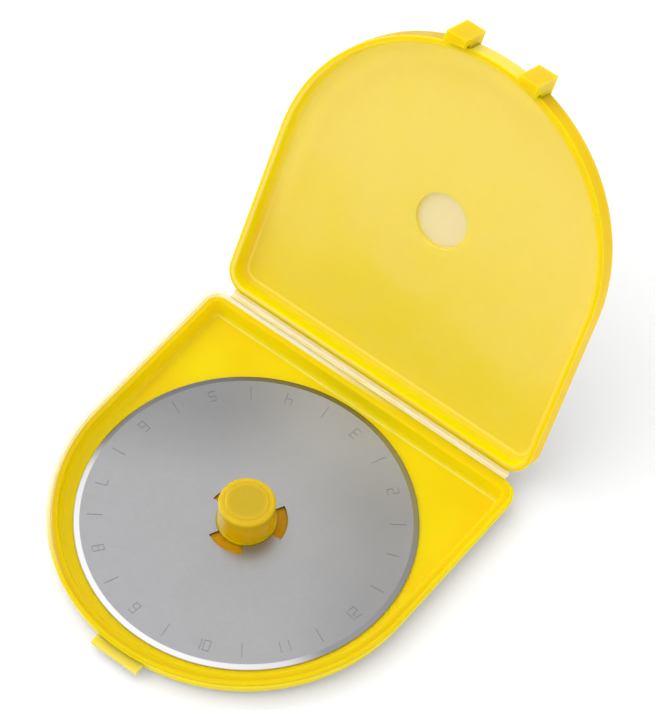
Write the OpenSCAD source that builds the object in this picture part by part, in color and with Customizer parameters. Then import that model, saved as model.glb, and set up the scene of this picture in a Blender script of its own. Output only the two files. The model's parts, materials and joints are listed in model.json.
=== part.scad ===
// Clamshell blade case with one rotary-cutter blade on its post.
// The case is one plastic moulding: a D-shaped tray and lid joined by a living hinge.
// Frame: origin on the post's axis at the underside of the tray, +Z up, +Y towards the hinge,
// X along the hinge. The lid is drawn shut and then swung open about the hinge.

/* [Case outline] */
// Radius of the round end, and half the width of the case
case_r = 25.7; // [25.5:0.1:26.2]
// How far the round end's centre lies beyond the post, away from the hinge
bow = 0.4; // [0.3:0.05:0.6]
// Distance from the post's axis to the hinge side
hinge_side_y = 25.2; // [25:0.1:26.5]
// Radius of the two corners beside the hinge
corner_r = 2.6; // [2.4:0.1:3]
// How far the lid stands open, measured from shut
lid_open = 117; // [100:1:135]

/* [Tray] */
// Height of the ledge that the lid lands on
ledge_z = 3.3; // [3.1:0.1:3.6]
// Thickness of the floor
floor_t = 1.0; // [0.8:0.1:1.2]
// Width of the flat ledge
ledge_w = 1.0; // [0.9:0.05:1.1]
// Width of the raised locating lip
lip_w = 0.55; // [0.45:0.05:0.6]
// Height of the lip above the ledge
lip_h = 0.35; // [0.2:0.05:0.45]
// How far the rim flange overhangs the wall below it
flange_overhang = 0.35; // [0.3:0.05:0.4]
// Thickness of the rim flange below the ledge
flange_t = 0.8; // [0.7:0.05:0.9]
// Radius of the bottom outer edge
tray_edge_r = 1.6; // [1.2:0.1:1.8]

/* [Lid] */
// Depth of the lid, outside
lid_depth = 3.3; // [3.1:0.1:3.6]
// Thickness of the lid's wall
lid_wall = 0.9; // [0.8:0.05:1]
// Thickness of the lid's plate
plate_t = 0.9; // [0.8:0.05:1]
// Radius of the two lid corners beside the hinge
lid_corner_r = 3.3; // [3.2:0.1:3.4]
// Radius of the lid's outer edge
lid_edge_r = 0.8; // [0.5:0.1:0.9]
// Radius of the round recess over the post
recess_r = 3.85; // [3.8:0.05:4]
// Thickness of plastic left behind the recess
recess_web_t = 0.3; // [0.25:0.05:0.35]
// Gap left between lid and tray when shut
seat_gap = 0.05; // [0.03:0.01:0.1]
// Gap between the lid and the locating lip
lip_gap = 0.1; // [0.08:0.01:0.15]

/* [Living hinge] */
// Distance from the hinge side to the fold line
hinge_reach = 0.6; // [0.5:0.05:0.8]
// Thickness of the hinge strip
hinge_t = 0.3; // [0.2:0.05:0.35]
// Length of the hinge strip
hinge_len = 46; // [40:1:46]

/* [Latch] */
// Distance from the centre line to the inner side of a hook
hook_inner_x = 4.2; // [4:0.1:4.5]
// Width of a hook
hook_w = 3; // [2.5:0.1:3.2]
// Distance from the post's axis to the outer face of a hook
hook_face_y = 26.8; // [26.7:0.1:27.2]
// How far a hook reaches below the ledge when shut
hook_drop = 1.7; // [1.6:0.05:1.8]
// Bite of the hook's barb under the flange
barb_bite = 0.25; // [0.15:0.05:0.25]
// Width of the thumb tab
tab_w = 7.4; // [6:0.1:7.6]
// Distance from the post's axis to the end of the thumb tab
tab_end_y = 27.1; // [26.7:0.05:27.4]
// Thickness of the thumb tab
tab_t = 0.7; // [0.6:0.05:0.9]

/* [Post] */
// Radius of the post where the blade turns
post_r = 3.93; // [3.92:0.01:3.96]
// Radius of the post above the blade
post_free_r = 3.76; // [3.7:0.01:3.76]
// Height of the post's shoulder above the tray's underside
post_z = 5.7; // [5.4:0.05:5.7]
// Radius of the raised disc on the post's end
post_disc_r = 2.87; // [2.5:0.01:3.1]

/* [Blade] */
// Radius of the blade at its cutting edge
blade_r = 22.5; // [22.4:0.1:22.6]
// Thickness of the blade
blade_t = 0.3; // [0.28:0.01:0.32]
// Width of the ground bevel
bevel_w = 0.75; // [0.5:0.05:1]
// Radius of the blade's bore
bore_r = 4.0; // [4:0.01:4.02]
// Radius of the three lobes cut into the bore
lobe_r = 5.4; // [5.2:0.1:6]
// Angle that one lobe spans
lobe_angle = 58; // [45:1:62]
// Direction of the first lobe's middle, from +X
lobe_turn = 33; // [0:1:119]
// Direction of the first tick, from +X
scale_turn = 7; // [0:1:29]
// Depth of the stamped marks
mark_depth = 0.03; // [0.02:0.01:0.05]
// Width of a stamped line
mark_w = 0.14; // [0.1:0.02:0.2]

/* [Hidden] */
$fn = 96;
eps = 0.01;

// Tray
lip_z = ledge_z + lip_h;
wall_w = lip_w + ledge_w;
flange_z = ledge_z - flange_t;
inner_fillet = 0.6;
lip_sweep = 55;                 // the lip ends this far round each hinge-side corner
soft_edge = 0.12;               // small round on moulded edges
floor_join = wall_w + inner_fillet + 0.1;

// Lid, when shut
lid_r = case_r - lip_w - lip_gap;
lid_bottom = ledge_z + seat_gap;
lid_top = lid_bottom + lid_depth;
lid_join = lid_wall + inner_fillet + 0.1;

// Hinge line
hinge_y = hinge_side_y + hinge_reach;
hinge_z = ledge_z + seat_gap / 2;

// Latch, when the lid is shut
hook_tip_z = ledge_z - hook_drop;
hook_slot_z = lip_z + 0.1;      // above this the hook is joined to the lid's wall
hook_inside_r = case_r + 0.05;
barb_z = flange_z - 0.05;
tab_top_z = 2.0;

// Blade
blade_gap = 0.02;
journal_rise = 0.18;             // the post keeps its full radius this far above the blade
blade_z = floor_t + blade_gap;
tick_in_r = 18.7;
tick_len = 2.1;
digit_r = 19.7;
digit_h = 1.5;
digit_w = 0.8;
marks = 12;
// Which of a numeral's seven strokes each digit uses:
// top, upper right, lower right, bottom, lower left, upper left, middle
STROKES = [[1,1,1,1,1,1,0], [0,1,1,0,0,0,0], [1,1,0,1,1,0,1], [1,1,1,1,0,0,1], [0,1,1,0,0,1,1],
           [1,0,1,1,0,1,1], [1,0,1,1,1,1,1], [1,1,1,0,0,0,0], [1,1,1,1,1,1,1], [1,1,1,1,0,1,1]];

// Points of a round from angle a to angle b about a centre
function round_at(c, r, a, b, n = 4) = [for (i = [0:n]) let (t = a + (b - a) * i / n)
    [c[0] + r * cos(t), c[1] + r * sin(t)]];

// Solid D-shaped plate outline: half-round end at -Y, straight sides, rounded hinge-side corners
module d_outline(r, l, rc) {
    translate([0, -bow]) circle(r);
    translate([-r, -bow]) square([2 * r, l - rc + bow]);
    translate([-(r - rc), -bow]) square([2 * (r - rc), l + bow]);
    for (s = [-1, 1]) translate([s * (r - rc), l - rc]) circle(rc);
}

// Sweeps a wall section round the D outline. The section's x is the distance in from the outline.
// corner is how far round each hinge-side corner it runs; hinge_side adds the straight hinge wall.
module d_sweep(r, l, rc, corner = 90, hinge_side = true) {
    translate([0, -bow, 0]) rotate([0, 0, 180]) rotate_extrude(angle = 180) from_axis(r) children();
    for (s = [0, 1]) mirror([s, 0, 0]) {
        translate([r, l - rc, 0]) rotate([90, 0, 0]) linear_extrude(l - rc + bow) mirror([1, 0]) children();
        translate([r - rc, l - rc, 0]) rotate_extrude(angle = corner) from_axis(rc) children();
    }
    if (hinge_side)
        translate([-(r - rc), l, 0]) rotate([90, 0, 90]) linear_extrude(2 * (r - rc))
            mirror([1, 0]) children();
}
module from_axis(r) { translate([r, 0]) mirror([1, 0]) children(); }

// Section of the tray's wall, flange, ledge and inner fillet
module tray_section() {
    o = flange_overhang;
    polygon(concat(
        [[floor_join, 0]],
        round_at([o + tray_edge_r, tray_edge_r], tray_edge_r, 270, 180, 8),
        [[o, flange_z], [soft_edge, flange_z]],
        round_at([soft_edge, flange_z + soft_edge], soft_edge, 270, 180, 3),
        round_at([soft_edge, ledge_z - soft_edge], soft_edge, 180, 90, 3),
        round_at([wall_w - 2 * soft_edge, ledge_z - 2 * soft_edge], 2 * soft_edge, 90, 0),
        round_at([wall_w + inner_fillet, floor_t + inner_fillet], inner_fillet, 180, 270),
        [[floor_join, floor_t]]));
}

// Section of the raised locating lip
module lip_section() {
    polygon(concat(
        [[0, ledge_z - 2 * soft_edge]],
        round_at([soft_edge, lip_z - soft_edge], soft_edge, 180, 90, 3),
        round_at([lip_w - soft_edge, lip_z - soft_edge], soft_edge, 90, 0, 3),
        [[lip_w, ledge_z - 2 * soft_edge]]));
}

// Section of the lid's wall and outer edge
module lid_section() {
    under = lid_top - plate_t;
    polygon(concat(
        [[lid_join, lid_top]],
        round_at([lid_edge_r, lid_top - lid_edge_r], lid_edge_r, 90, 180, 6),
        round_at([soft_edge, lid_bottom + soft_edge], soft_edge, 180, 270, 3),
        round_at([lid_wall - 2 * soft_edge, lid_bottom + 2 * soft_edge], 2 * soft_edge, 270, 360),
        round_at([lid_wall + inner_fillet, under - inner_fillet], inner_fillet, 180, 90),
        [[lid_join, under]]));
}

// Everything inside the tray's outer surface at the round end, for cutting what joins it
module tray_envelope() {
    o = flange_overhang;
    translate([0, -bow, 0]) rotate_extrude() polygon(concat(
        [[0, 0]],
        round_at([case_r - o - tray_edge_r, tray_edge_r], tray_edge_r, 270, 360, 8),
        [[case_r - o, flange_z], [0, flange_z]]));
}

// Everything inside the lid's outer surface at the round end, when shut
module lid_envelope() {
    translate([0, -bow, 0]) rotate_extrude() polygon(concat(
        [[0, lid_bottom], [lid_r, lid_bottom]],
        round_at([lid_r - lid_edge_r, lid_top - lid_edge_r], lid_edge_r, 0, 90, 6),
        [[lid_r - lid_edge_r, lid_top + 1], [0, lid_top + 1]]));
}

// Carries a part of the shut lid to its open position
module swing_open() {
    translate([0, hinge_y, hinge_z]) rotate([-lid_open, 0, 0]) translate([0, -hinge_y, -hinge_z]) children();
}

// Where a point of the shut lid, given from the hinge line, goes when the lid is open
function opened(p) = [p[0] * cos(lid_open) + p[1] * sin(lid_open), p[1] * cos(lid_open) - p[0] * sin(lid_open)];

module base_tray() {
    color("gold") {
        linear_extrude(floor_t)
            d_outline(case_r - wall_w - inner_fillet, hinge_side_y - wall_w - inner_fillet,
                      corner_r - wall_w - inner_fillet);
        d_sweep(case_r, hinge_side_y, corner_r) tray_section();
        d_sweep(case_r, hinge_side_y, corner_r, lip_sweep, false) lip_section();
    }
}

module blade_post() {
    shoulder = 0.4;
    journal_top = blade_z + blade_t + journal_rise;
    disc_z = post_z + 0.12;
    color("gold") rotate_extrude() polygon(concat(
        [[0, floor_t], [post_r, floor_t], [post_r, journal_top], [post_free_r, journal_top]],
        round_at([post_free_r - shoulder, post_z - shoulder], shoulder, 0, 90, 6),
        [[post_disc_r, post_z], [post_disc_r - 0.1, disc_z], [0, disc_z]]));
}

module thumb_tab() {
    inside_y = case_r - 3;
    color("khaki") difference() {
        translate([-tab_w / 2, -tab_end_y, tab_top_z - tab_t]) cube([tab_w, tab_end_y - inside_y, tab_t]);
        tray_envelope();
    }
}

module living_hinge() {
    near = seat_gap / 2;
    far = near + hinge_t;
    fold = [sin(lid_open / 2), -cos(lid_open / 2)];
    out = [for (p = fold) p * hinge_t];
    color("lemonchiffon") translate([-hinge_len / 2, hinge_y, hinge_z]) rotate([90, 0, 90])
        linear_extrude(hinge_len) polygon([
            [-hinge_reach, -near], [0, 0], opened([-hinge_reach, near]),
            opened([-hinge_reach, far]), out, [-hinge_reach, -far]]);
}

module lid_shell() {
    color("khaki") swing_open() difference() {
        union() {
            translate([0, 0, lid_top - plate_t]) linear_extrude(plate_t)
                d_outline(lid_r - lid_wall - inner_fillet, hinge_side_y - lid_wall - inner_fillet,
                          lid_corner_r - lid_wall - inner_fillet);
            d_sweep(lid_r, hinge_side_y, lid_corner_r) lid_section();
        }
        translate([0, 0, lid_bottom]) cylinder(r = recess_r, h = lid_depth - recess_web_t);
    }
}

// One hook on the side s of the centre line: a block joined to the lid's wall above the lip,
// clear of the tray's rim below it, with a barb that bites under the rim flange
module latch_hook(s) {
    inside_y = lid_r - 3;
    slot_h = hook_slot_z - hook_tip_z;
    color("gold") swing_open() difference() {
        translate([s * (hook_inner_x + hook_w / 2) - hook_w / 2, -hook_face_y, hook_tip_z])
            cube([hook_w, hook_face_y - inside_y, lid_top - hook_tip_z]);
        lid_envelope();
        translate([0, -bow, barb_z]) cylinder(r = hook_inside_r, h = hook_slot_z - barb_z);
        translate([0, -bow, hook_tip_z - eps]) cylinder(r = case_r - barb_bite, h = slot_h + eps);
        translate([0, -bow, hook_tip_z - eps])
            cylinder(r1 = hook_inside_r, r2 = case_r - barb_bite, h = (barb_z - hook_tip_z) / 2);
    }
}
module latch_hook_left() { latch_hook(-1); }
module latch_hook_right() { latch_hook(1); }

// One stamped digit, its middle at the origin
module digit(n) {
    w = digit_w;
    h = digit_h / 2;
    ends = [[[0, h * 2], [w, h * 2]], [[w, h], [w, h * 2]], [[w, 0], [w, h]], [[0, 0], [w, 0]],
            [[0, 0], [0, h]], [[0, h], [0, h * 2]], [[0, h], [w, h]]];
    for (i = [0:6]) if (STROKES[n][i] == 1) {
        a = ends[i][0];
        b = ends[i][1];
        translate([a[0] - w / 2 - mark_w / 2, a[1] - h - mark_w / 2, -mark_depth])
            cube([b[0] - a[0] + mark_w, b[1] - a[1] + mark_w, 1]);
    }
}

// A whole number, read from outside the blade's rim
module numeral(n) {
    step = digit_w + 3 * mark_w;
    if (n < 10) digit(n);
    else for (k = [0, 1]) translate([(k - 0.5) * step, 0, 0]) digit(k == 0 ? floor(n / 10) : n % 10);
}

module rotary_blade() {
    color("silver") translate([0, 0, blade_z]) difference() {
        rotate_extrude($fn = 240) polygon([
            [bore_r, 0], [blade_r - bevel_w, 0], [blade_r, blade_t / 2],
            [blade_r - bevel_w, blade_t], [bore_r, blade_t]]);
        for (k = [0:2]) rotate([0, 0, 120 * k + lobe_turn - lobe_angle / 2]) translate([0, 0, -1])
            rotate_extrude(angle = lobe_angle) translate([bore_r - 0.2, 0])
                square([lobe_r - bore_r + 0.2, 2]);
        for (k = [0:marks - 1]) rotate([0, 0, scale_turn + 360 / marks * k]) {
            translate([tick_in_r, -mark_w / 2, blade_t - mark_depth]) cube([tick_len, mark_w, 1]);
            rotate([0, 0, 180 / marks]) translate([digit_r, 0, blade_t]) rotate([0, 0, 90]) numeral(k + 1);
        }
    }
}

base_tray();
blade_post();
thumb_tab();
living_hinge();
lid_shell();
latch_hook_left();
latch_hook_right();
rotary_blade();
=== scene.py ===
"""Looks for the open blade case: translucent plastic, ground steel, a bending hinge, a studio."""
import json
import math

import bmesh
import bpy
from mathutils import Matrix, Vector


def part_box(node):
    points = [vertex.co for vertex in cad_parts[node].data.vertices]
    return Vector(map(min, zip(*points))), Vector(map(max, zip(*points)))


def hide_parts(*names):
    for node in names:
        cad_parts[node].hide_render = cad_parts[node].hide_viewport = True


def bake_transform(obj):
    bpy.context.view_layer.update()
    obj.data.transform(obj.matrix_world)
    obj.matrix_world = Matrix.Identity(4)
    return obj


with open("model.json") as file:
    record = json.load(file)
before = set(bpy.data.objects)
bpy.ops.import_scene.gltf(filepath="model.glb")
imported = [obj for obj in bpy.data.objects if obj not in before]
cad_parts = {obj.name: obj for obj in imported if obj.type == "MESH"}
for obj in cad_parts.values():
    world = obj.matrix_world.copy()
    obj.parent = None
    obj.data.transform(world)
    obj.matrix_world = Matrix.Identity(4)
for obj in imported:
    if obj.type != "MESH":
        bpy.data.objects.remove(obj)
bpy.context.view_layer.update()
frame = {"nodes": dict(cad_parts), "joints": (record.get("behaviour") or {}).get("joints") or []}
MM = 0.001

# Studio light: an even room and one soft box, given by its direction and by how closely
# a direction has to point at it to be at its rim and in its full light
ROOM_LIGHT = 0.74
BOX_LIGHT = 2.1
BOX_WAY = Vector((-0.44, -0.10, 0.89)).normalized()
BOX_RIM = 0.70
BOX_FULL = 0.93

# Level directions of the camera's view, and of the light on the case and on the bevel
VIEW_RIGHT = (0.815, 0.58, 0)
VIEW_UP = (-0.58, 0.815, 0)
LIGHT_WAY = (-0.94, 0.35, 0)
POST_LIGHT_WAY = (-0.86, -0.5, 0)
BEVEL_LIGHT_WAY = (-0.17, -0.98, 0)


class Shader:
    """A node material that is built by adding nodes and linking what feeds them."""

    def __init__(self, name):
        self.material = bpy.data.materials.new(name)
        self.material.use_nodes = True
        self.tree = self.material.node_tree
        self.tree.nodes.clear()

    def add(self, kind, settings=None, **inputs):
        node = self.tree.nodes.new("ShaderNode" + kind)
        for key, value in (settings or {}).items():
            setattr(node, key, value)
        for key, value in inputs.items():
            self.feed(node.inputs[key.replace("_", " ")], value)
        return node

    def feed(self, socket, value):
        if isinstance(value, bpy.types.NodeSocket):
            self.tree.links.new(value, socket)
        else:
            socket.default_value = value

    def dot(self, a, b):
        node = self.add("VectorMath", {"operation": "DOT_PRODUCT"})
        self.feed(node.inputs[0], a)
        self.feed(node.inputs[1], b)
        return node.outputs["Value"]

    def length(self, a, b):
        return self.math("SQRT", self.math("ADD", self.both(a, a), self.both(b, b)))

    def both(self, a, b):
        """The product of two values; of two shares, 1 only where both are 1."""
        return self.math("MULTIPLY", a, b)

    def math(self, operation, a, b=0.0, clamp=False):
        node = self.add("Math", {"operation": operation, "use_clamp": clamp})
        self.feed(node.inputs[0], a)
        self.feed(node.inputs[1], b)
        return node.outputs[0]

    def mix(self, share, a, b):
        node = self.add("Mix", {"data_type": "RGBA"})
        self.feed(node.inputs[0], share)
        self.feed(node.inputs[6], a)
        self.feed(node.inputs[7], b)
        return node.outputs[2]

    def remap(self, value, low, high, to_low=0.0, to_high=1.0):
        node = self.add("MapRange", {"interpolation_type": "SMOOTHSTEP"}, Value=value, From_Min=low,
                        From_Max=high, To_Min=to_low, To_Max=to_high)
        return node.outputs[0]

    def band(self, value, start, full, fade, end):
        """1 from full to fade, falling to 0 at start and end."""
        return self.both(self.remap(value, start, full), self.remap(value, end, fade))

    def noise(self, coords, size_mm, detail=2.0):
        node = self.add("TexNoise", Vector=coords, Scale=1 / (size_mm * MM), Detail=detail)
        return node.outputs[0]

    def position(self):
        """The place on a CAD node in the frame's own axes, so that colours travel with the part."""
        return self.add("TexCoord").outputs["Object"]

    def part(self, coords, axis):
        """One coordinate, in mm."""
        return self.math("DIVIDE", self.add("SeparateXYZ", Vector=coords).outputs[axis], MM)

    def along(self, coords, way):
        """How far a place lies in one direction, in mm."""
        return self.dot(coords, tuple(part / MM for part in way))

    def spill(self):
        """1 for light on its way to another surface, so that an outer wall tints the floor less."""
        return self.add("LightPath").outputs["Is Diffuse Ray"]

    def finish(self, surface):
        output = self.add("OutputMaterial")
        self.tree.links.new(surface, output.inputs["Surface"])
        return self.material


def rgb(red, green, blue):
    """An 8-bit display colour as linear light."""
    return tuple(((c / 255 + 0.055) / 1.055) ** 2.4 if c > 10 else c / 255 / 12.92
                 for c in (red, green, blue)) + (1.0,)


FLOOR_DEEP = rgb(241, 208, 0)
FLOOR_LIGHT = rgb(245, 215, 0)
PAINTED_SHADE_BY_POST = rgb(198, 146, 0)
INNER_WALL_PAINTED_LIGHT = rgb(255, 226, 14)
LAND = rgb(234, 204, 0)
LAND_NEAR = rgb(220, 192, 0)
PAINTED_HIGHLIGHT_LINE = rgb(255, 234, 120)
OUTER_WALL = rgb(242, 216, 50)
CREAM = rgb(252, 236, 204)
NEUTRAL = rgb(214, 212, 206)
PLATE_PALE = rgb(235, 215, 108)
PLATE_DEEP = rgb(233, 213, 66)
PLATE_EDGE_PAINTED_LIGHT = rgb(252, 228, 118)
LID_WALL = rgb(255, 226, 0)
LID_LAND = rgb(240, 204, 0)
LID_OUTSIDE = rgb(244, 204, 0)
LID_OUTSIDE_PAINTED_SHADE = rgb(216, 176, 0)
LID_OUTSIDE_LIT = rgb(246, 222, 96)
RECESS = rgb(218, 199, 172)
RECESS_BACK = rgb(236, 217, 130)
PAINTED_RIM_HIGHLIGHT = rgb(252, 220, 120)
HOOK_DEEP = rgb(237, 200, 0)
HOOK_PATCH_AND_EDGE_HIGHLIGHT = rgb(246, 213, 0)
POST_DEEP = rgb(216, 184, 0)
POST_LIT = rgb(246, 218, 130)
POST_FOOT = rgb(242, 196, 0)
POST_PALE = rgb(202, 174, 10)
TAB_DEEP = rgb(238, 209, 80)
TAB_PATCH_AND_EDGE_HIGHLIGHT = rgb(244, 219, 122)
WEB = rgb(234, 214, 170)
WEB_PALE = rgb(244, 228, 196)
WEB_ROOT = rgb(240, 216, 84)
PAINTED_FOLD_HIGHLIGHT = rgb(255, 242, 196)
STEEL = rgb(130, 130, 132)
STEEL_PAINTED_LIGHT = rgb(151, 151, 153)
STEEL_MARK = rgb(98, 98, 101)
PAINTED_BEVEL_GLEAM = rgb(186, 186, 188)
PAINTED_BEVEL_DULL = rgb(127, 126, 130)
PAPER = rgb(251, 251, 251)
PAPER_PALE = rgb(255, 255, 255)


def largest(axis, node):
    """How far a CAD node reaches along one axis, in mm."""
    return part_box(node)[1][axis] / MM


HINGE = next(j for j in frame["joints"] if j["name"] == "lid_hinge")
SHUT_ANGLE = math.radians(HINGE["range_deg"][0])
TRAY_R = largest(0, "base_tray")
LID_R = largest(0, "lid_shell")
HINGE_SIDE = largest(1, "base_tray")
BLADE_R = largest(0, "rotary_blade")
BLADE_TOP = largest(2, "rotary_blade")
# The case's sizes in mm, as in its CAD source, with the lid shut
BOW = -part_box("base_tray")[0].y / MM - TRAY_R
FLOOR_TOP = 1.0
FLANGE_Z = 2.5
LEDGE_Z = 3.3
LID_TOP = 6.65
LIP_W = 0.55
TRAY_WALL = 1.55
LID_WALL_W = 0.9
BEVEL_W = 0.75
RECESS_R = 3.85
TRAY_CORNER = 2.6
LID_CORNER = 3.3
HOOK_INNER_X = 4.2
HINGE_REACH = 0.6
HINGE_T = 0.3


def place_in_case(s, coords, radius, corner, swung):
    """How far in from the D outline, how high, and how far towards the hinge, in mm, with the lid shut."""
    if swung:
        coords = s.add("VectorRotate", {"rotation_type": "AXIS_ANGLE"}, Vector=coords,
                       Center=HINGE["pos_m"], Axis=HINGE["axis"], Angle=SHUT_ANGLE).outputs[0]
    scaled = s.add("VectorMath", {"operation": "SCALE"}, Vector=coords, Scale=1 / MM).outputs[0]
    x, y, z = s.add("SeparateXYZ", Vector=scaled).outputs
    past_centre = s.math("MINIMUM", s.math("ADD", y, BOW), 0.0)
    across = s.length(x, past_centre)
    side = s.math("SUBTRACT", across, radius - corner)
    end = s.math("SUBTRACT", y, HINGE_SIDE - corner)
    around = s.length(s.math("MAXIMUM", side, 0.0), s.math("MAXIMUM", end, 0.0))
    inside = s.math("MINIMUM", s.math("MAXIMUM", side, end), 0.0)
    return s.math("SUBTRACT", corner, s.math("ADD", around, inside)), z, y


def plastic(s, coords, colour, rough=0.34, spread_mm=1.6, gloss=0.08):
    """Translucent moulded polypropylene over a colour: light spreads under a faintly uneven skin."""
    grain = s.noise(coords, 0.35, 3.0)
    waves = s.noise(coords, 6.0)
    relief = s.math("ADD", s.both(waves, 3.0), grain)
    bump = s.add("Bump", Strength=0.05, Distance=0.2 * MM, Height=relief).outputs[0]
    sheen = s.remap(s.noise(coords, 3.0), 0.3, 0.7, rough - 0.05, rough + 0.08)
    skin = s.add("BsdfPrincipled", Base_Color=colour, Roughness=sheen, Normal=bump)
    skin.inputs["Specular IOR Level"].default_value = gloss
    skin.inputs["Subsurface Weight"].default_value = 1.0
    skin.inputs["Subsurface Radius"].default_value = (1.0, 0.9, 0.35)
    skin.inputs["Subsurface Scale"].default_value = spread_mm * MM
    return s.finish(skin.outputs[0])


def from_post(s, coords):
    """Distance from the post's axis, in mm."""
    return s.length(s.part(coords, 0), s.part(coords, 1))


def lit_side(s, coords):
    """1 on the side of the case towards the light, 0 on the far side."""
    return s.remap(s.along(coords, LIGHT_WAY), 2.0, 20.0)


def painted_edge_highlight(s):
    """1 along outward edges and 0 on flat faces: a painted highlight where light catches a thin moulded
    edge.
    """
    smooth = s.add("Bevel", {"samples": 4}, Radius=0.25 * MM).outputs[0]
    facing = s.add("NewGeometry").outputs["Normal"]
    return s.remap(s.dot(smooth, facing), 0.99, 0.75, 0.0, 0.8)


def tray_plastic():
    """Deep yellow floor with painted shade round the post, gold land, an inner wall painted lighter, a lip
    painted paler towards the light, a painted highlight line by the hinge.
    """
    s = Shader("case_plastic_tray")
    coords = s.position()
    inward, height, along = place_in_case(s, coords, TRAY_R, TRAY_CORNER, False)
    patches = s.remap(s.noise(coords, 9.0), 0.3, 0.7)
    floor = s.mix(patches, FLOOR_DEEP, FLOOR_LIGHT)
    # Painted shade: the floor darkens around the post, under the blade.
    floor = s.mix(s.remap(from_post(s, coords), 7.5, 5.0), floor, PAINTED_SHADE_BY_POST)
    # Painted light: the inner wall gets a lighter yellow than the floor, to lift the shade it stands in.
    colour = s.mix(s.remap(inward, TRAY_WALL + 0.75, TRAY_WALL + 0.35), floor, INNER_WALL_PAINTED_LIGHT)

    on_ledge = s.remap(height, LEDGE_Z - 0.3, LEDGE_Z - 0.1)
    land = s.mix(s.remap(along, -4.0, 16.0), LAND_NEAR, LAND)
    colour = s.mix(on_ledge, colour, land)

    # Painted highlight: a light line along the fillet where the wall meets the floor, strongest by the
    # hinge.
    line = s.band(inward, TRAY_WALL + 0.4, TRAY_WALL + 0.6, TRAY_WALL + 0.65, TRAY_WALL + 0.9)
    by_hinge = s.remap(along, 21.5, 22.8, 0.12, 0.8)
    colour = s.mix(s.both(line, by_hinge), colour, PAINTED_HIGHLIGHT_LINE)

    below_rim = s.both(s.remap(inward, 0.6, 0.3), s.remap(height, FLANGE_Z - 0.05, FLANGE_Z - 0.2))
    colour = s.mix(below_rim, colour, OUTER_WALL)
    lip = s.both(on_ledge, s.remap(inward, LIP_W + 0.3, LIP_W + 0.05))
    colour = s.mix(s.both(lip, lit_side(s, coords)), colour, CREAM)

    rim_side = s.both(s.remap(inward, 0.3, 0.15), s.remap(height, LEDGE_Z + 0.1, LEDGE_Z - 0.05))
    underside = s.remap(height, FLOOR_TOP - 0.02, FLOOR_TOP - 0.1)
    outside = s.math("MAXIMUM", s.math("MAXIMUM", below_rim, rim_side), underside)
    colour = s.mix(s.both(outside, s.spill()), colour, NEUTRAL)
    return plastic(s, coords, colour)


def lid_plastic():
    """A pale plate that deepens towards the hinge, inside a wall of saturated yellow."""
    s = Shader("lid_plastic")
    coords = s.position()
    inward, height, along = place_in_case(s, coords, LID_R, LID_CORNER, True)
    across = s.math("ABSOLUTE", s.part(coords, 0))
    lit = lit_side(s, coords)

    patches = s.remap(s.noise(coords, 9.0), 0.35, 0.65, -0.15, 0.15)
    lower = s.math("ADD", s.remap(along, -6.0, 24.0), patches, clamp=True)
    plate = s.mix(lower, PLATE_PALE, PLATE_DEEP)
    # Painted light: the plate lightens near the wall on the lit side, to lift the shade in the corner.
    lit_edge = s.both(s.remap(lit, 0.0, 1.0, 0.25, 1.0), s.remap(along, 18.0, 6.0))
    inner_edge = s.both(s.remap(inward, 5.0, 1.2), s.remap(height, LID_TOP - 0.35, LID_TOP - 0.65))
    plate = s.mix(s.both(inner_edge, lit_edge), plate, PLATE_EDGE_PAINTED_LIGHT)
    wall = s.mix(s.remap(height, 4.4, 5.4, 0.0, 0.4), LID_WALL, plate)
    colour = s.mix(s.remap(inward, LID_WALL_W + 0.6, LID_WALL_W + 0.1), plate, wall)

    outside = s.both(s.remap(inward, 0.25, 0.1), s.remap(height, LEDGE_Z + 0.2, LEDGE_Z + 0.6))
    between_hooks = s.both(s.remap(across, HOOK_INNER_X + 0.4, HOOK_INNER_X - 0.4),
                           s.remap(along, 0.0, -10.0))
    # Painted shade: the outer wall is a deeper gold at the round end on its lit side; painted highlight:
    # it is paler between the hooks.
    top = s.both(s.remap(along, -10.0, -22.0), s.remap(lit, 0.1, 0.6))
    outer_wall = s.mix(top, LID_OUTSIDE, LID_OUTSIDE_PAINTED_SHADE)
    colour = s.mix(outside, colour, s.mix(between_hooks, outer_wall, LID_OUTSIDE_LIT))

    # Painted highlight: a light line along the fillet where the wall meets the plate, strongest by the
    # hinge.
    line = s.band(inward, LID_WALL_W + 0.35, LID_WALL_W + 0.6, LID_WALL_W + 0.7, LID_WALL_W + 1.0)
    by_hinge = s.remap(along, 10.0, 22.0, 0.2, 0.8)
    colour = s.mix(s.both(line, by_hinge), colour, PAINTED_HIGHLIGHT_LINE)

    end_face = s.remap(height, LEDGE_Z + 0.25, LEDGE_Z + 0.1)
    colour = s.mix(end_face, colour, LID_LAND)
    # Painted highlight: a pale stripe along the rim's end face, strongest on the lit side.
    stripe = s.band(inward, 0.3, 0.5, 0.75, 0.9)
    strength = s.both(s.remap(lit, 0.0, 1.0, 0.35, 0.95), s.remap(along, -20.0, 5.0, 0.15, 1.0))
    colour = s.mix(s.both(end_face, s.both(stripe, strength)), colour, PAINTED_RIM_HIGHLIGHT)

    recess = s.remap(s.length(across, along), RECESS_R, RECESS_R - 0.15)
    recess_floor = s.both(recess, s.remap(height, LID_TOP - 0.5, LID_TOP - 0.35))
    web = s.mix(s.remap(height, LID_TOP - 0.2, LID_TOP - 0.1), RECESS, RECESS_BACK)
    colour = s.mix(recess_floor, colour, web)

    away = s.math("MAXIMUM", outside, s.remap(height, LID_TOP - 0.25, LID_TOP - 0.1))
    colour = s.mix(s.both(away, s.spill()), colour, NEUTRAL)
    return plastic(s, coords, colour)


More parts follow.
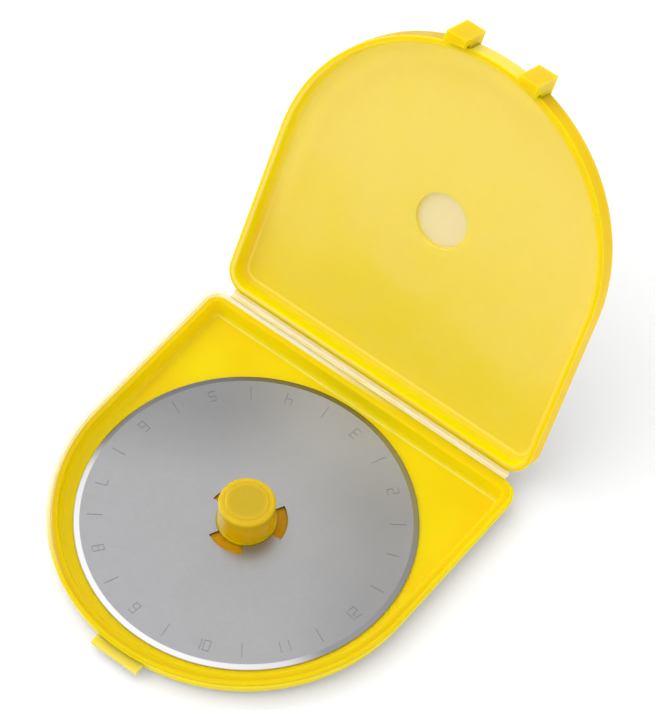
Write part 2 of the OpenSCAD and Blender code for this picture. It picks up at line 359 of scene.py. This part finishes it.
def solid_plastic(name, deep, pale):
    """The same plastic for the small parts: deep where thick, paler in random patches, with a painted
    highlight along edges.
    """
    s = Shader(name)
    coords = s.position()
    patches = s.remap(s.noise(coords, 2.5), 0.3, 0.7, 0.0, 0.15)
    # Painted highlight: edges are mixed towards the pale colour, as are faint random patches.
    share = s.math("ADD", s.both(painted_edge_highlight(s), 0.7), patches, clamp=True)
    colour = s.mix(s.spill(), s.mix(share, deep, pale), NEUTRAL)
    return plastic(s, coords, colour, gloss=0.1)


def post_plastic():
    """A thick post: gold at its foot, cream down its lit side, a duller disc on its end."""
    s = Shader("case_plastic_post")
    coords = s.position()
    height = s.part(coords, 2)
    colour = s.mix(s.remap(height, 3.6, 5.4), POST_FOOT, POST_DEEP)
    facing = s.dot(s.add("NewGeometry").outputs["Normal"], POST_LIGHT_WAY)
    colour = s.mix(s.remap(facing, 0.5, 0.95, 0.0, 0.85), colour, POST_LIT)
    top = s.both(s.remap(from_post(s, coords), 3.0, 2.0), s.remap(height, 5.3, 5.6))
    colour = s.mix(top, colour, POST_PALE)
    return plastic(s, coords, colour, gloss=0.22, rough=0.28)


def hinge_plastic():
    """Nearly colourless where it is thin, with a painted highlight along the fold."""
    s = Shader("hinge_plastic")
    coords = s.position()
    _, fold_y, fold_z = HINGE["pos_m"]
    off = s.length(s.math("SUBTRACT", s.part(coords, 1), fold_y / MM),
                   s.math("SUBTRACT", s.part(coords, 2), fold_z / MM))
    stretched = s.add("Mapping", Vector=coords, Scale=(0.15, 1, 1)).outputs[0]
    web = s.mix(s.remap(s.noise(stretched, 0.4, 3.0), 0.35, 0.65), WEB, WEB_PALE)
    colour = s.mix(s.remap(off, HINGE_REACH - 0.2, HINGE_REACH + 0.02), web, WEB_ROOT)
    # Painted highlight: a bright line along the fold.
    colour = s.mix(s.remap(off, 0.13, 0.05), colour, PAINTED_FOLD_HIGHLIGHT)
    return plastic(s, coords, colour, gloss=0.5, spread_mm=HINGE_T)


def steel():
    """Satin-ground tool steel: a fine brushed face, darker stamped marks, a ground bevel.

    The face and the bevel carry a painted reflection: they dim where they would mirror darker parts
    of the room, and this painted shading is placed in the room and stays still while the blade turns.
    """
    s = Shader("blade_steel")
    coords = s.position()
    place = s.add("NewGeometry").outputs["Position"]
    right = s.along(place, VIEW_RIGHT)
    up = s.along(place, VIEW_UP)
    # Painted reflection: the face dims at the top left and on the right, where it would mirror darker
    # parts of the room.
    top_left = s.both(s.remap(up, 4.0, 20.0), s.remap(right, 12.0, -4.0))
    right_side = s.both(s.remap(right, 4.0, 18.0, 0.0, 0.6), s.remap(up, 14.0, 2.0))
    clouds = s.remap(s.noise(coords, 14.0), 0.3, 0.7, -0.08, 0.08)
    painted_dim = s.math("ADD", s.math("MAXIMUM", top_left, right_side), clouds, clamp=True)
    face = s.mix(painted_dim, STEEL_PAINTED_LIGHT, STEEL)
    mark = s.remap(s.part(coords, 2), BLADE_TOP - 0.008, BLADE_TOP - 0.022, 0.0, 0.4)
    face = s.mix(mark, face, STEEL_MARK)

    radius = from_post(s, coords)
    bevel = s.remap(radius, BLADE_R - BEVEL_W - 0.05, BLADE_R - BEVEL_W + 0.01)
    edge = s.remap(radius, BLADE_R - 0.12, BLADE_R - 0.02, 0.0, 0.5)
    # Painted reflection: the ground bevel is dull on the right and gleams on its side towards the light.
    ground = s.mix(s.remap(right, 6.0, 20.0), PAINTED_BEVEL_DULL, STEEL_PAINTED_LIGHT)
    ground = s.mix(s.remap(s.along(place, BEVEL_LIGHT_WAY), 5.0, 11.0), ground, PAINTED_BEVEL_GLEAM)
    colour = s.mix(bevel, face, ground)
    colour = s.mix(edge, colour, STEEL_MARK)

    brushed = s.add("Mapping", Vector=coords, Scale=(1, 9, 1)).outputs[0]
    grain = s.noise(brushed, 0.8, 4.0)
    flat = s.math("SUBTRACT", 1.0, bevel)
    rough = s.math("ADD", 0.3, s.both(flat, s.remap(grain, 0.3, 0.7, 0.04, 0.14)))
    bump = s.add("Bump", Strength=0.04, Distance=0.05 * MM, Height=s.both(flat, grain)).outputs[0]
    front = s.add("BsdfPrincipled", Base_Color=colour, Metallic=1.0, Roughness=rough, Normal=bump)
    return s.finish(front.outputs[0])


def paper():
    """The pale, matt studio floor."""
    s = Shader("studio_paper")
    coords = s.position()
    tone = s.mix(s.noise(coords, 40.0), PAPER, PAPER_PALE)
    return s.finish(s.add("BsdfDiffuse", Color=tone).outputs[0])


def dress(node, material):
    """Gives a CAD node its finish."""
    mesh = frame["nodes"][node].data
    mesh.materials.clear()
    mesh.materials.append(material)


def dress_all():
    """Every CAD node's finish."""
    dress("base_tray", tray_plastic())
    dress("lid_shell", lid_plastic())
    hooks = solid_plastic("case_plastic_hook", HOOK_DEEP, HOOK_PATCH_AND_EDGE_HIGHLIGHT)
    for node in ("latch_hook_left", "latch_hook_right"):
        dress(node, hooks)
    dress("blade_post", post_plastic())
    dress("thumb_tab", solid_plastic("case_plastic_tab", TAB_DEEP, TAB_PATCH_AND_EDGE_HIGHLIGHT))
    dress("rotary_blade", steel())


def surround():
    """An even white surround with one large soft box overhead, leaning to the left."""
    world = bpy.data.worlds.new("surround")
    bpy.context.scene.world = world
    world.use_nodes = True
    tree = world.node_tree
    way = tree.nodes.new("ShaderNodeTexCoord").outputs["Generated"]
    dot = tree.nodes.new("ShaderNodeVectorMath")
    dot.operation = "DOT_PRODUCT"
    tree.links.new(way, dot.inputs[0])
    dot.inputs[1].default_value = BOX_WAY
    ramp = tree.nodes.new("ShaderNodeMapRange")
    ramp.interpolation_type = "SMOOTHSTEP"
    settings = {"From Min": BOX_RIM, "From Max": BOX_FULL, "To Min": ROOM_LIGHT, "To Max": BOX_LIGHT}
    for name, value in settings.items():
        ramp.inputs[name].default_value = value
    tree.links.new(dot.outputs["Value"], ramp.inputs["Value"])
    tree.links.new(ramp.outputs[0], tree.nodes["Background"].inputs["Strength"])
    tree.nodes["Background"].inputs["Color"].default_value = (1, 1, 1, 1)


def hinge_strip():
    """The web between tray and lid: two flat legs and a rounded fold, built once at a fixed bend."""
    low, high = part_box("living_hinge")
    fold = Vector(HINGE["pos_m"])
    reach = HINGE_REACH * MM
    thick = HINGE_T * MM
    skin = 0.02 * MM
    bend = math.pi + SHUT_ANGLE
    tray_way = Vector((0, -1, 0))
    lid_way = Vector((0, math.cos(bend), math.sin(bend)))
    legs = 6
    turns = 10

    def outward(share):
        angle = share * bend - math.pi / 2
        return Vector((0, math.cos(angle), math.sin(angle)))

    path = [(tray_way * reach * (1 - k / legs), outward(0)) for k in range(legs)]
    path += [(Vector((0, 0, 0)), outward(k / turns)) for k in range(turns + 1)]
    path += [(lid_way * reach * (k + 1) / legs, outward(1)) for k in range(legs)]
    ends = 0.12 * MM
    spans = 60
    span = (high.x - low.x - 2 * ends) / spans
    stations = [low.x, low.x + ends / 3, low.x + ends]
    stations += [low.x + ends + span * k for k in range(1, spans)]
    stations += [high.x - ends, high.x - ends / 3, high.x]
    rounding = [0.5, 0.85, 1.0] + [1.0] * (spans - 1) + [1.0, 0.85, 0.5]
    mesh = bpy.data.meshes.new("hinge_strip")
    bm = bmesh.new()
    rings = []
    middle = thick / 2
    for x, full in zip(stations, rounding):
        start = fold + Vector((x - fold.x, 0, 0))
        half = middle * full
        inner = [start + leg + out * (middle - half + skin) for leg, out in path]
        outer = [start + leg + out * (middle + half) for leg, out in path]
        rings.append([bm.verts.new(p) for p in inner + outer[::-1]])
    count = len(rings[0])
    for a, b in zip(rings, rings[1:]):
        for k in range(count):
            bm.faces.new((a[k], a[(k + 1) % count], b[(k + 1) % count], b[k]))
    for ring, flip in ((rings[0], False), (rings[-1], True)):
        half_count = count // 2
        for k in range(half_count - 1):
            quad = [ring[k], ring[k + 1], ring[count - 2 - k], ring[count - 1 - k]]
            bm.faces.new(quad[::-1] if flip else quad)
    bmesh.ops.recalc_face_normals(bm, faces=bm.faces)
    bm.to_mesh(mesh)
    bm.free()
    mesh.shade_smooth()
    strip = bpy.data.objects.new("hinge_strip", mesh)
    bpy.context.scene.collection.objects.link(strip)
    mesh.materials.append(hinge_plastic())
    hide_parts("living_hinge")
    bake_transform(strip)


def studio():
    """A pale floor just under the case, in the even surround."""
    bpy.ops.mesh.primitive_plane_add(size=4.0, location=(0, 0, -0.03 * MM))
    floor = bpy.context.object
    floor.name = "studio_floor"
    floor.data.materials.append(paper())
    surround()
    bpy.context.scene.view_settings.view_transform = "Standard"


def camera():
    """Looks down at the case from its front right, with a long lens."""
    azimuth = math.radians(35.42)
    elevation = math.radians(55.69)
    roll = math.radians(3.27)
    distance = 581.4 * MM
    target = Vector((-8.36, 27.79, 0)) * MM
    back = Vector((math.sin(azimuth) * math.cos(elevation), -math.cos(azimuth) * math.cos(elevation),
                   math.sin(elevation)))
    level = Vector((math.cos(azimuth), math.sin(azimuth), 0))
    upright = back.cross(level)
    right = level * math.cos(roll) + upright * math.sin(roll)
    up = back.cross(right)
    data = bpy.data.cameras.new("camera")
    data.sensor_width = 36.0
    data.lens = 220.21
    data.clip_start = 0.01
    data.clip_end = 10
    eye = bpy.data.objects.new("camera", data)
    bpy.context.scene.collection.objects.link(eye)
    turn = Matrix((right, up, back)).transposed().to_4x4()
    eye.matrix_world = Matrix.Translation(target + back * distance) @ turn
    bpy.context.scene.camera = eye


dress_all()
hinge_strip()
studio()
camera()
